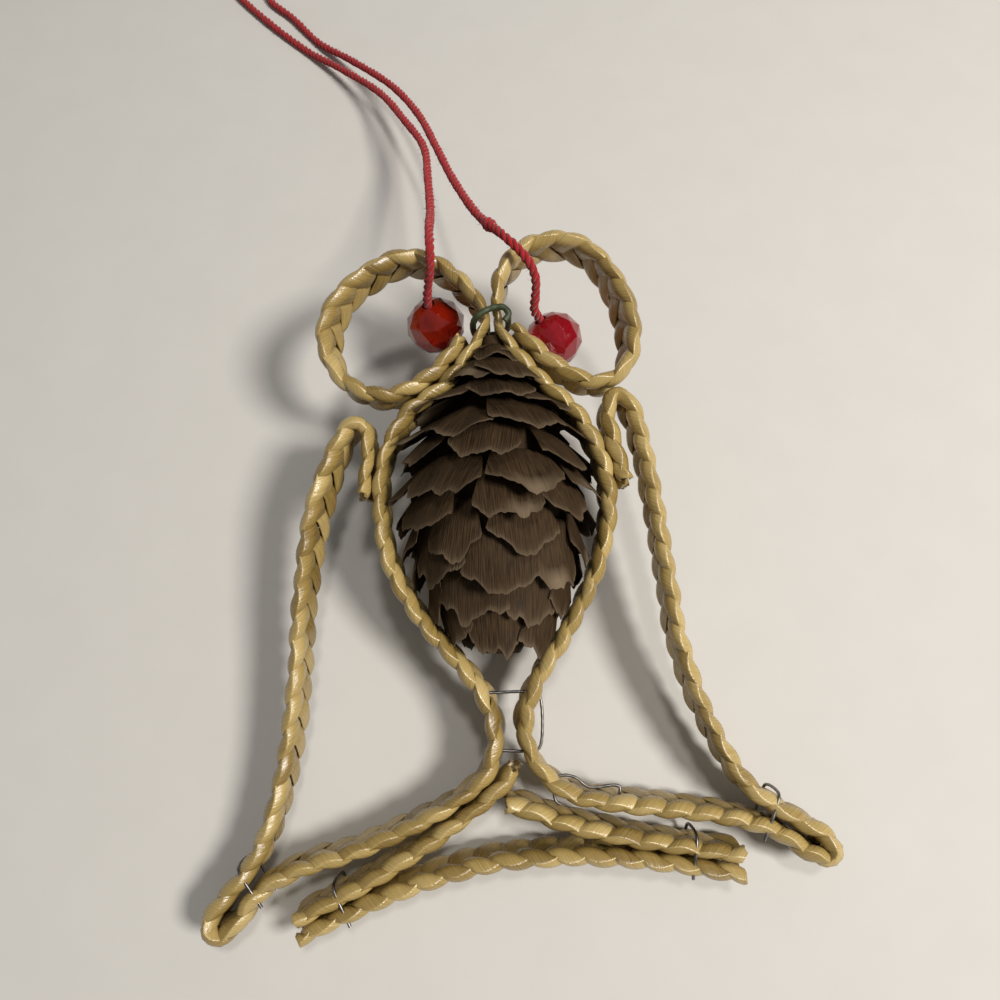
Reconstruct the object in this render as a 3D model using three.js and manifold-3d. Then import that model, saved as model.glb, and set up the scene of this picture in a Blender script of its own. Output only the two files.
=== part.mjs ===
// A straw owl ornament. Lengths of flat straw plait stand on edge and are bent into the
// outline of an owl: two round eyes, a body, two wings and a fanned tail. A pine cone fills
// the body, a faceted bead hangs in each eye, and one red cord joins the beads into a
// hanging loop. It lies on its back on the cone, with the ends of wings and tail touching.
//
// Millimetres. The owl is drawn in its own frame: x to its right as seen, y towards its
// eyes, z out of its face. REST_* then lay it down in the part's frame, +Z up.
import * as THREE from "three";
import { mergeVertices } from "three/addons/utils/BufferGeometryUtils.js";
import Module from "manifold-3d";

const wasm = await Module();
wasm.setup();

// ---- driving dimensions -------------------------------------------------------------

const DEG = Math.PI / 180;

const PLAIT = {
  width: 9, // across the flat plait, along the owl's z
  lobe: 4.5, // from one strand's turn at an edge to the next
  scallop: 0.7, // how far the edge dips between two lobes
  edge: 2.5, // thickness through a lobe
  waist: 1.9, // thickness through the edge between two lobes
  cut: 0.8, // share of the thickness left at a cut end
};

const CONE = {
  apex: [0.8, -25.3], // the blunt tip, towards the tail
  base: [-0.2, 27.4], // the stalk end, under the knot
  radius: 17.3,
  taper: { apex: 0.58, base: 0.76 }, // share of the radius lost at each end
  scales: 7, // scales in one row
  rows: 11,
  lip: 1, // thickness of a scale's free margin
  notch: 1.7, // how far the margin steps in between two scales
  drop: 2.3, // how far a scale's tip hangs below its sides
  tuck: 2.7, // how far a scale runs up under the one above
  shut: 2.9, // depth of the gaps near the apex
  open: 6.2, // depth of the gaps near the base
};

const BEAD = { radius: 5.1, barrel: 0.95, bore: 1.2, sides: 10 };
const KNOT_WIRE = 1.1; // diameter, with its green coat
const STAPLE = 0.5; // diameter of the wire
const CORD = 1.6; // diameter
const REST = { pitch: 10.9, roll: 1.55, shift: [-4.26, 10.58, 16.41] };
const GAP = 0.35; // kept between a piece and what it is cut to clear

// The plaited outlines, down the middle of each plait.
const LEFT_PLAIT = [
  // cut end beside the knot, then round the eye and back up to the knot
  [-5.6, 28.3], [-7.4, 25.7], [-10.9, 21.7], [-18.3, 18.2], [-25.7, 20.8], [-29.1, 28.8],
  [-26.0, 36.8], [-18.2, 42.3], [-13.6, 42.8], [-8.3, 40.4], [-4.0, 36.0],
  // from the knot down the body to the waist
  [-1.7, 31.9], [-3.9, 26.3], [-8.5, 20.1], [-14.8, 14.9], [-18.5, 7.8], [-19.2, -1.0],
  [-17.3, -10.0], [-12.2, -19.2], [-4.9, -27.3], [-1.4, -32.2], [0.1, -38.0],
  // out along the foot to the folded wing tip
  [-1.2, -43.2], [-6.4, -47.8], [-22.1, -55.2], [-30.6, -57.8], [-36.9, -61.5],
  [-40.4, -66.4], [-42.6, -67.5], [-44.3, -66.5], [-43.4, -64.0],
  // up the wing, over the shoulder, and down to the cut end against the body
  [-37.9, -57.0], [-34.7, -48.6], [-32.4, -33.5], [-31.7, -16.0], [-29.9, -1.0],
  [-26.3, 9.9], [-24.4, 12.9], [-22.5, 13.2], [-21.4, 10.6], [-21.5, 7.0], [-22.2, 0.8],
];

const RIGHT_PLAIT = [
  [3.3, 30.1], [9.5, 24.1], [14.6, 21.0], [18.9, 20.8], [22.5, 24.4], [22.9, 31.2],
  [19.3, 40.5], [14.8, 45.1], [9.0, 45.9], [4.2, 43.9], [0.9, 39.4],
  [0.35, 32.1], [1.5, 28.4], [7.9, 20.6], [14.2, 14.3], [18.0, 6.3], [18.8, -1.2],
  [16.6, -11.2], [11.5, -21.4], [6.8, -28.9], [5.0, -33.0], [4.7, -37.5],
  [6.9, -42.5], [11.6, -46.2], [18.1, -47.6], [30.3, -48.8], [42.6, -51.2],
  [48.6, -54.7], [51.3, -55.6], [52.5, -54.5], [51.4, -52.5],
  [46.6, -49.6], [39.8, -45.0], [33.9, -34.8], [29.9, -23.0], [28.0, -10.6], [25.6, 5.1],
  [23.1, 15.5], [21.3, 18.0], [19.7, 17.6], [18.9, 15.0], [20.0, 9.5], [21.7, 3.4],
];

const TAIL_LEFT = [
  [3.3, -42.5], [0.7, -45.6], [-3.1, -48.8], [-17.0, -58.0], [-23.7, -61.6], [-30.6, -65.1],
];
const TAIL_RIGHT = [
  [1.9, -48.2], [4.6, -48.5], [10.2, -50.5], [22.1, -53.0], [38.2, -55.3],
];
const TAIL_ARC = [
  [-30.2, -67.8], [-17.8, -62.0], [-2.0, -57.0], [12.0, -55.6], [23.0, -56.1], [38.2, -58.1],
];

// Where a plait leans, so that its near edge stands further out than its middle.
const LEANS = [
  { at: [-29.1, 29.5], reach: 8, degrees: 9 },
  { at: [22.6, 32.5], reach: 10, degrees: 12 },
  { at: [-30.2, 0], reach: 10, degrees: 8 },
  { at: [4.7, -36], reach: 7, degrees: -6 },
];

// Where plaits are tied or pressed together and are thinner.
const PINCHES = [
  { at: [-0.7, 31.8], reach: 4.2, squeeze: 0.45 },
  { at: [3.1, 30.1], reach: 2.5, squeeze: 0.3 },
  { at: [-4.5, 27.6], reach: 3.5, squeeze: 0.25 },
  { at: [-20.1, 7.5], reach: 4.5, squeeze: 0.25 },
  { at: [-5, -48.5], reach: 4, squeeze: 0.2 },
  { at: [4.5, -41.5], reach: 2, squeeze: 0.2 },
  { at: [-27, -65], reach: 6, squeeze: 0.1 },
  { at: [34, -56.5], reach: 6, squeeze: 0.1 },
];

// Beads hang in the eyes, behind the plait. towards is where the bore faces.
const BEADS = {
  left: { at: [-11.2, 34.2, -7], towards: [-1.1, 2.4, 4.5] },
  right: { at: [10.4, 31.2, -7], towards: [-2.6, 2.8, 3.4] },
};

// The green wire that ties the neck, from the curl at its front to its end on the right.
const NECK_TIE = [
  [1.3, 30.8, 5.8], [2.1, 31.7, 5.5], [0.6, 32.7, 5.5], [-1.6, 32.2, 5.5], [-4, 30.8, 5.2],
  [-4.7, 30.5, 3], [-4.3, 30.8, -3.5], [-2.7, 31.4, -5.4], [0.8, 31.9, -5.4],
  [2.4, 32, -3.7], [2.5, 32, 3.2],
];

// Staples, from one end of the wire to the other. The foot's has sprung half open.
const STAPLES = {
  waist: [[-1.4, -31.2, 0], [7.3, -31.2, 0], [7.3, -40.2, 0], [-1.4, -40.2, 0]],
  foot: [
    [10.4, -48.4, 0.5], [9.4, -47.9, 0.5], [9.6, -44.8, 0.5], [10.3, -43.9, 0.5],
    [12.9, -44.2, 0.5], [14.4, -45.6, 0.5], [15.4, -45.9, 0.5], [19.6, -45.4, 0.5],
    [20.1, -45.9, 0.5], [19.7, -47.1, 0.5],
  ],
  left_tip: [[-35.8, -63, -3.6], [-39.9, -57.4, -3.6], [-39.9, -57.4, 3.6], [-35.8, -63, 3.6]],
  right_tip: [[41.6, -52.9, -3.6], [44.3, -46.1, -3.6], [44.3, -46.1, 3.6], [41.6, -52.9, 3.6]],
  tail_left: [[-22.1, -65.7, -3.6], [-25, -60, -3.6], [-25, -60, 3.6], [-22.1, -65.7, 3.6]],
  tail_right: [[30.4, -58.6, -3.6], [31.3, -52.3, -3.6], [31.3, -52.3, 3.6], [30.4, -58.6, 3.6]],
};
const STAPLE_BEND = 0.7; // how far from a staple's corner its wire starts to turn

// The hanging cord's route in the part's frame: out of the left bead, over the eye's rim,
// down to the table, round the loop's end, and back the same way to the right bead.
const CORD_ROUTE = [
  [-16.1, 46.1, 18.6], [-16.6, 46.9, 21.2], [-16, 48, 25.2], [-15.3, 48.9, 28.4],
  [-15.1, 51.3, 31], [-15.4, 54.8, 30.6], [-16.4, 64.7, 24.2], [-17.9, 76, 19.5],
  [-19.8, 88, 15.2], [-25.1, 99.6, 11], [-31.8, 111.5, 7.2], [-42.6, 123.6, 3.2],
  [-51.6, 131.8, 1], [-60.3, 139.7, 1], [-70.1, 150, 1], [-75.3, 157, 1], [-77.8, 164.5, 1],
  [-77, 171, 1], [-71.8, 174.5, 1], [-66.8, 171, 1], [-66, 164, 1], [-65.8, 157, 1],
  [-63.2, 149.7, 1], [-56.7, 143.2, 1], [-49.4, 134.7, 1], [-40.5, 126.3, 3.2],
  [-29.1, 113.2, 7.4], [-22.1, 100.9, 11.2], [-17.1, 87.2, 16], [-12.9, 75, 20.4],
  [-7.4, 61.5, 26.4], [-2.6, 53, 31.5], [-0.1, 50.6, 31], [1.7, 48.8, 29.7], [2.7, 47.4, 27.4],
  [2.7, 46, 24.5], [2.5, 45, 21.7], [3.4, 44.7, 19.2], [4.8, 43.6, 17],
];

// ---- shapes -------------------------------------------------------------------------

const blend = (a, b, t) => a + (b - a) * t;

// How strongly a place of the given reach works on a point, 1 at its middle.
function nearness(place, point) {
  const away = Math.hypot(point.x - place.at[0], point.y - place.at[1]) / place.reach;
  return Math.exp(-away * away);
}

// A closed body through rings of points that run anticlockwise about its length.
function loft(rings) {
  const sides = rings[0].length;
  const middle = (ring) =>
    ring.reduce((sum, p) => sum.add(p), new THREE.Vector3()).divideScalar(sides);
  const points = [...rings.flat(), middle(rings[0]), middle(rings.at(-1))];
  const [first, last] = [points.length - 2, points.length - 1];
  const lastRing = (rings.length - 1) * sides;
  const faces = [];
  for (let j = 0; j < sides; j++) {
    const next = (j + 1) % sides;
    faces.push(first, next, j);
    faces.push(last, lastRing + j, lastRing + next);
    for (let i = 0; i < rings.length - 1; i++) {
      const [low, high] = [i * sides, (i + 1) * sides];
      faces.push(low + j, low + next, high + next);
      faces.push(low + j, high + next, high + j);
    }
  }
  const geometry = new THREE.BufferGeometry().setFromPoints(points);
  geometry.setIndex(faces);
  return geometry;
}

// A smooth curve through points given as [x, y] or [x, y, z].
function route(points) {
  const vectors = points.map(([x, y, z = 0]) => new THREE.Vector3(x, y, z));
  return new THREE.CatmullRomCurve3(vectors, false, "centripetal");
}

// One length of plait on edge, with a station at each lobe of either rim. section gives the
// outline there as [z, thickness] pairs; outward is 1 where the outside is on the left.
function plait(bends, outward, section) {
  const curve = route(bends);
  curve.arcLengthDivisions = 40 * bends.length;
  const stations = 2 * Math.round(curve.getLength() / PLAIT.lobe);
  const rings = [];
  for (let i = 0; i <= stations; i++) {
    const centre = curve.getPointAt(i / stations);
    const along = curve.getTangentAt(i / stations);
    const lean = LEANS.reduce((sum, place) => sum + place.degrees * nearness(place, centre), 0);
    const tilt = (vector) => vector.applyAxisAngle(along, -outward * lean * DEG);
    const across = tilt(new THREE.Vector3(0, 0, 1));
    const through = tilt(new THREE.Vector3(-along.y, along.x, 0));
    const pinch = PINCHES.reduce((thin, p) => thin * (1 - p.squeeze * nearness(p, centre)), 1);
    const atCut = i === 0 || i === stations ? PLAIT.cut : 1;
    rings.push(
      section(i).map(([z, t]) =>
        centre
          .clone()
          .addScaledVector(across, z)
          .addScaledVector(through, t * pinch * atCut),
      ),
    );
  }
  return loft(rings);
}

// The plait's own outline: its near rim has a lobe where its far rim dips, and the reverse.
function plaitSection(station) {
  const nearLobe = station % 2 === 0;
  const rim = (lobe) => ({
    ridge: PLAIT.width / 2 - (lobe ? 0 : PLAIT.scallop),
    shoulder: PLAIT.width / 2 - (lobe ? 1.3 : 1.8),
    half: (lobe ? PLAIT.edge : PLAIT.waist) / 2,
    skew: (lobe ? 0.25 : -0.25) * PLAIT.edge,
  });
  const near = rim(nearLobe);
  const far = rim(!nearLobe);
  return [
    [near.ridge, near.skew],
    [near.shoulder, -near.half],
    [-far.shoulder, -far.half],
    [-far.ridge, -far.skew],
    [-far.shoulder, far.half],
    [near.shoulder, near.half],
  ];
}

// The room that the plait keeps clear of the cone, before and behind it too.
function plaitRoom() {
  const [high, half] = [PLAIT.width, PLAIT.edge / 2 + GAP];
  return [[high, -half], [-high, -half], [-high, half], [high, half]];
}

// The cone's outer radius along its length, from the blunt apex (0) to the stalk (1).
function coneRadius(t) {
  const x = 2 * t - 1;
  return CONE.radius * (1 - (x < 0 ? CONE.taper.apex : CONE.taper.base) * x * x);
}

// An even, repeatable scatter between -1 and 1.
function scatter(row, column) {
  const wave = Math.sin(row * 127.1 + column * 311.7) * 43758.5453;
  return 2 * (wave - Math.floor(wave)) - 1;
}

// A cone of overlapping scales, each row half a scale round from the last. Free margins
// point to the apex; the gaps under them are shallow near the apex and deep near the stalk.
function pineCone() {
  const columns = 4 * CONE.scales;
  const length = CONE.base[1] - CONE.apex[1];
  const margin = [0, 0.75, 1, 0.75];
  const place = (radius, height, column) => {
    const angle = (2 * Math.PI * column) / columns;
    const t = height / length;
    return new THREE.Vector3(
      blend(CONE.apex[0], CONE.base[0], t) + radius * Math.sin(angle),
      CONE.apex[1] + height,
      radius * Math.cos(angle),
    );
  };
  const rings = [];
  for (let row = 0; row < CONE.rows; row++) {
    const height = (length * (row + 0.25)) / CONE.rows;
    const radius = coneRadius(height / length);
    const under = [];
    const lip = [];
    const root = [];
    for (let column = 0; column < columns; column++) {
      const phase = column + 2 * (row % 2);
      const full = margin[phase % 4];
      const uneven = scatter(row, Math.floor((phase + 2) / 4) % CONE.scales);
      const out = Math.min(radius, radius - (1 - full) * CONE.notch + 0.6 * uneven * full);
      const level = height + (1 - full) * CONE.drop + 0.5 * uneven;
      under.push(place(out - CONE.lip, level - 0.2, column));
      lip.push(place(out, level, column));
      const rise = Math.min(height + length / CONE.rows + CONE.tuck, length);
      const depth = blend(CONE.shut, CONE.open, rise / length);
      root.push(place(Math.max(coneRadius(rise / length) - depth, 2), rise, column));
    }
    rings.push(under, lip);
    if (row < CONE.rows - 1) rings.push(root);
  }
  rings.push(rings.at(-1).map((p, column) => place(3, length, column)));
  return loft(rings);
}

// A faceted barrel bead with its bore along y.
function bead() {
  const { radius, barrel, bore, sides } = BEAD;
  const steps = 6;
  const profile = [];
  const from = Math.asin(bore / radius);
  for (let i = 0; i <= steps; i++) {
    const angle = blend(from, Math.PI - from, i / steps);
    profile.push(
      new THREE.Vector2(radius * Math.sin(angle), -radius * barrel * Math.cos(angle)),
    );
  }
  profile.push(profile[0].clone());
  return new THREE.LatheGeometry(profile, sides);
}

// A round tube along a smooth curve.
function tube(points, diameter, sides, step) {
  const curve = route(points);
  const corners = Array.from({ length: sides }, (_, i) => {
    const angle = (2 * Math.PI * i) / sides;
    return new THREE.Vector2(Math.cos(angle), Math.sin(angle)).multiplyScalar(diameter / 2);
  });
  return new THREE.ExtrudeGeometry(new THREE.Shape(corners), {
    extrudePath: curve,
    steps: Math.round(curve.getLength() / step),
    bevelEnabled: false,
  });
}

// A staple's wire, straight between its corners.
function staple(corners, diameter) {
  const points = corners.map((corner) => new THREE.Vector3(...corner));
  const bent = points.flatMap((point, i) => {
    if (i === 0 || i === points.length - 1) return [point];
    return [points[i - 1], points[i + 1]].map((neighbour) => {
      const reach = Math.min(STAPLE_BEND, point.distanceTo(neighbour) / 2.5);
      return point.clone().add(neighbour.clone().sub(point).setLength(reach));
    });
  });
  return tube(bent.map((p) => p.toArray()), diameter, 5, 1.8);
}

// ---- solids that are cut ------------------------------------------------------------

function toSolid(geometry) {
  const bare = geometry.clone();
  for (const name of ["normal", "uv"]) bare.deleteAttribute(name);
  const merged = mergeVertices(bare, 1e-4);
  return new wasm.Manifold(
    new wasm.Mesh({
      numProp: 3,
      vertProperties: merged.attributes.position.array,
      triVerts: new Uint32Array(merged.index.array),
    }),
  );
}

function toGeometry(solid) {
  const mesh = solid.getMesh();
  const geometry = new THREE.BufferGeometry();
  geometry.setAttribute("position", new THREE.BufferAttribute(mesh.vertProperties, 3));
  geometry.setIndex(new THREE.BufferAttribute(mesh.triVerts, 1));
  return geometry;
}

// ---- the owl ------------------------------------------------------------------------

// How the owl lies: its head a little raised, its lowest points at z = 0.
const rest = new THREE.Matrix4()
  .makeTranslation(...REST.shift)
  .multiply(new THREE.Matrix4().makeRotationX(REST.pitch * DEG))
  .multiply(new THREE.Matrix4().makeRotationY(REST.roll * DEG));

const straw = new THREE.MeshStandardMaterial({ color: 0xc9a75e, roughness: 0.45 });
const scale = new THREE.MeshStandardMaterial({ color: 0x4a3220, roughness: 0.85 });
const ruby = new THREE.MeshStandardMaterial({ color: 0x8e0f16, roughness: 0.12 });
const greenWire = new THREE.MeshStandardMaterial({ color: 0x3d4a2c, roughness: 0.6 });
const steel = new THREE.MeshStandardMaterial({ color: 0x5b5a58, roughness: 0.4, metalness: 1 });
const redCord = new THREE.MeshStandardMaterial({ color: 0xb3141c, roughness: 0.8 });

const owl = new THREE.Group();
owl.applyMatrix4(rest);

function add(group, name, geometry, material) {
  const mesh = new THREE.Mesh(geometry, material);
  mesh.name = name;
  group.add(mesh);
  return mesh;
}

const plaits = {
  plait_left: [LEFT_PLAIT, 1],
  plait_right: [RIGHT_PLAIT, -1],
  tail_left: [TAIL_LEFT, 1],
  tail_right: [TAIL_RIGHT, 1],
  tail_arc: [TAIL_ARC, 1],
};
const stapleRooms = Object.values(STAPLES).map((corners) =>
  toSolid(staple(corners, STAPLE + 2 * GAP)),
);
for (const [name, [bends, outward]] of Object.entries(plaits)) {
  let solid = toSolid(plait(bends, outward, plaitSection));
  for (const room of stapleRooms) solid = solid.subtract(room);
  add(owl, name, toGeometry(solid), straw);
}

let cone = toSolid(pineCone());
for (const [bends, outward] of [plaits.plait_left, plaits.plait_right])
  cone = cone.subtract(toSolid(plait(bends, outward, plaitRoom)));
const table = new THREE.BoxGeometry(60, 60, 20).translate(0, 0, -10);
cone = cone.subtract(toSolid(table.applyMatrix4(rest.clone().invert())));
const [wholeCone] = cone.decompose().sort((a, b) => b.volume() - a.volume());
add(owl, "pine_cone", toGeometry(wholeCone), scale);

for (const [side, { at, towards }] of Object.entries(BEADS)) {
  const hung = add(owl, `bead_${side}`, bead(), ruby);
  hung.position.set(...at);
  hung.quaternion.setFromUnitVectors(
    new THREE.Vector3(0, 1, 0),
    new THREE.Vector3(...towards).normalize(),
  );
}

add(owl, "neck_wire", tube(NECK_TIE, KNOT_WIRE, 6, 1.8), greenWire);
for (const [place, corners] of Object.entries(STAPLES))
  add(owl, `staple_${place}`, staple(corners, STAPLE), steel);

const ornament = new THREE.Group();
ornament.add(owl);
add(ornament, "hang_cord", tube(CORD_ROUTE, CORD, 8, 4.2), redCord);

export default ornament;
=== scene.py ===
import math

import bmesh
import bpy
import numpy as np
from mathutils import Matrix, Vector


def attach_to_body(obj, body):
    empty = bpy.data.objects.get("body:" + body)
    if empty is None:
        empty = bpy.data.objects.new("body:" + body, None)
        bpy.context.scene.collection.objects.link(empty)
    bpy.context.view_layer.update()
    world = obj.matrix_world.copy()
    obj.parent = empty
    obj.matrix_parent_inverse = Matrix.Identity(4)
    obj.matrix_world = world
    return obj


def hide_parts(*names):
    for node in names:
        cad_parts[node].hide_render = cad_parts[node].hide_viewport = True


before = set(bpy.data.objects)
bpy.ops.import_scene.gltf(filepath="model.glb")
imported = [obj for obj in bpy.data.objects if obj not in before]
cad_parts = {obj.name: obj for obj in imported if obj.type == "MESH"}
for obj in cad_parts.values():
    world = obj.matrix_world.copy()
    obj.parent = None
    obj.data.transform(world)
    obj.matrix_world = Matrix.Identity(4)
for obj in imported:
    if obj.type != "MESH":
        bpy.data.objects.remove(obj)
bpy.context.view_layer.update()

MM = 0.001
TABLE_GAP = 0.05 * MM  # the lowest that any point lies, so nothing sinks into the table

REST_PITCH = math.radians(10.9)
REST_ROLL = math.radians(1.55)
REST_SHIFT = np.array((-4.26, 10.58, 16.41))
REST_TURN = np.array(Matrix.Rotation(REST_PITCH, 3, "X") @ Matrix.Rotation(REST_ROLL, 3, "Y"))


def to_world(points):
    """Points in the owl's frame, in mm, laid down on the table, in metres."""
    return (np.asarray(points) @ REST_TURN.T + REST_SHIFT) * MM


# ---- camera ---------------------------------------------------------------------------


def add_camera():
    """Stands nearly over the owl, a little below its tail."""
    place = Vector((1.51327, -28.73924, 135.10554)) * MM
    right = Vector((0.99918, 0.00765, -0.0397)).normalized()
    ahead = Vector((-0.04007, 0.31874, -0.94699)).normalized()
    up = right.cross(ahead)
    data = bpy.data.cameras.new("camera")
    data.sensor_width = 36
    data.lens = 36 * 0.74
    data.clip_start = 0.005
    camera = bpy.data.objects.new("camera", data)
    axes = Matrix((right, up, -ahead)).transposed()
    camera.matrix_world = Matrix.Translation(place) @ axes.to_4x4()
    bpy.context.scene.collection.objects.link(camera)
    bpy.context.scene.camera = camera


# ---- curves and meshes ----------------------------------------------------------------


def smooth_route(points, per_span=40):
    """A centripetal curve through points, as three.js draws it, in small straight steps."""
    p = np.asarray(points, float)
    if p.shape[1] == 2:
        p = np.hstack([p, np.zeros((len(p), 1))])
    p = np.vstack([2 * p[0] - p[1], p, 2 * p[-1] - p[-2]])
    steps = np.linspace(0, 1, per_span, endpoint=False)[:, None]
    pieces = []
    for a, b, c, d in zip(p, p[1:], p[2:], p[3:]):
        ab, bc, cd = (math.sqrt(np.linalg.norm(v)) for v in (b - a, c - b, d - c))
        start = ((b - a) / ab - (c - a) / (ab + bc) + (c - b) / bc) * bc
        end = ((c - b) / bc - (d - b) / (bc + cd) + (d - c) / cd) * bc
        square = 3 * (c - b) - 2 * start - end
        cube = 2 * (b - c) + start + end
        pieces.append(b + start * steps + square * steps**2 + cube * steps**3)
    return np.vstack([*pieces, p[-2:-1]])


def attach(piece, node):
    """A piece of the one body that stands for a CAD node, whose own part is hidden."""
    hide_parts(node)
    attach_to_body(piece, "root")


class Spine:
    """A curve that is read by the distance along it, straight on past both its ends."""

    def __init__(self, points):
        self.points = smooth_route(points)
        chords = np.linalg.norm(np.diff(self.points, axis=0), axis=1)
        self.marks = np.concatenate([[0], np.cumsum(chords)])
        self.length = self.marks[-1]
        tangents = np.gradient(self.points, self.marks, axis=0)
        self.tangents = tangents / np.linalg.norm(tangents, axis=1, keepdims=True)

    def along(self, s):
        s = np.asarray(s, float)
        t = np.stack([np.interp(s, self.marks, c) for c in self.tangents.T], axis=-1)
        return t / np.linalg.norm(t, axis=-1, keepdims=True)

    def at(self, s):
        s = np.asarray(s, float)
        inside = np.clip(s, 0, self.length)
        place = np.stack([np.interp(inside, self.marks, c) for c in self.points.T], axis=-1)
        return place + self.along(s) * (s - inside)[..., None]


class Build:
    """Collects grids of points into one mesh, with a strand UV and a tone for each point."""

    def __init__(self):
        self.points = []
        self.uvs = []
        self.tones = []
        self.faces = []
        self.count = 0

    def add(self, points, faces, uv=None, tone=0.5):
        points = np.asarray(points, float).reshape(-1, 3)
        n = len(points)
        self.points.append(points)
        self.uvs.append(np.zeros((n, 2)) if uv is None else np.asarray(uv, float).reshape(n, 2))
        self.tones.append(np.broadcast_to(np.asarray(tone, float).reshape(-1), (n,)))
        self.faces.extend(tuple(i + self.count for i in face) for face in faces)
        self.count += n

    def tube(self, rings, **details):
        """Rings of points joined into a tube that is closed at both ends."""
        rings = np.asarray(rings, float)
        n, sides = rings.shape[:2]
        faces = grid_faces(n, sides, closed=True)
        faces.append(tuple(range(sides - 1, -1, -1)))
        faces.append(tuple((n - 1) * sides + i for i in range(sides)))
        self.add(rings, faces, **details)

    def finish(self, name, material, world=True, merge=None, sharp=40):
        points = np.vstack(self.points)
        mesh = bpy.data.meshes.new(name)
        placed = to_world(points) if world else points * MM
        placed[:, 2] = np.maximum(placed[:, 2], TABLE_GAP)
        mesh.from_pydata(placed, [], self.faces)
        corners = np.empty(len(mesh.loops), int)
        mesh.loops.foreach_get("vertex_index", corners)
        layer = mesh.uv_layers.new(name="strand")
        layer.data.foreach_set("uv", np.vstack(self.uvs)[corners].ravel())
        tone = mesh.attributes.new("tone", "FLOAT", "POINT")
        tone.data.foreach_set("value", np.concatenate(self.tones))
        if merge:
            work = bmesh.new()
            work.from_mesh(mesh)
            bmesh.ops.remove_doubles(work, verts=work.verts, dist=merge * MM)
            bmesh.ops.dissolve_degenerate(work, edges=work.edges, dist=merge * MM)
            work.to_mesh(mesh)
            work.free()
        mesh.shade_smooth()
        mesh.set_sharp_from_angle(angle=math.radians(sharp))
        mesh.materials.append(material)
        piece = bpy.data.objects.new(name, mesh)
        bpy.context.scene.collection.objects.link(piece)
        return piece


def grid_faces(rows, columns, closed=False, flip=False):
    """Quads of a grid of points, row by row. A closed one joins its last column to its first."""
    faces = []
    for i in range(rows - 1):
        for j in range(columns if closed else columns - 1):
            a, b = i * columns + j, i * columns + (j + 1) % columns
            face = (a, b, b + columns, a + columns)
            faces.append(face[::-1] if flip else face)
    return faces


def ring_frames(points):
    """Directions across a line of points that turn as little as possible along it."""
    ahead = np.gradient(points, axis=0)
    ahead /= np.linalg.norm(ahead, axis=1, keepdims=True)
    first = np.cross(ahead[0], (0.3, 0.5, 0.8))
    first /= np.linalg.norm(first)
    across = [first]
    for t in ahead[1:]:
        side = across[-1] - t * np.dot(across[-1], t)
        across.append(side / np.linalg.norm(side))
    across = np.array(across)
    return across, np.cross(ahead, across)


def tube_rings(points, radius, sides, turn=0.0):
    """Round rings about a line of points. radius and turn may change along it."""
    across, over = ring_frames(points)
    angles = np.linspace(0, 2 * math.pi, sides, endpoint=False)[None, :] + np.reshape(turn, (-1, 1))
    radius = np.reshape(radius, (-1, 1, 1))
    ring = np.cos(angles)[..., None] * across[:, None] + np.sin(angles)[..., None] * over[:, None]
    return points[:, None] + radius * ring


# ---- materials ------------------------------------------------------------------------


NOISE_ROUGHNESS = 0.55


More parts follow.
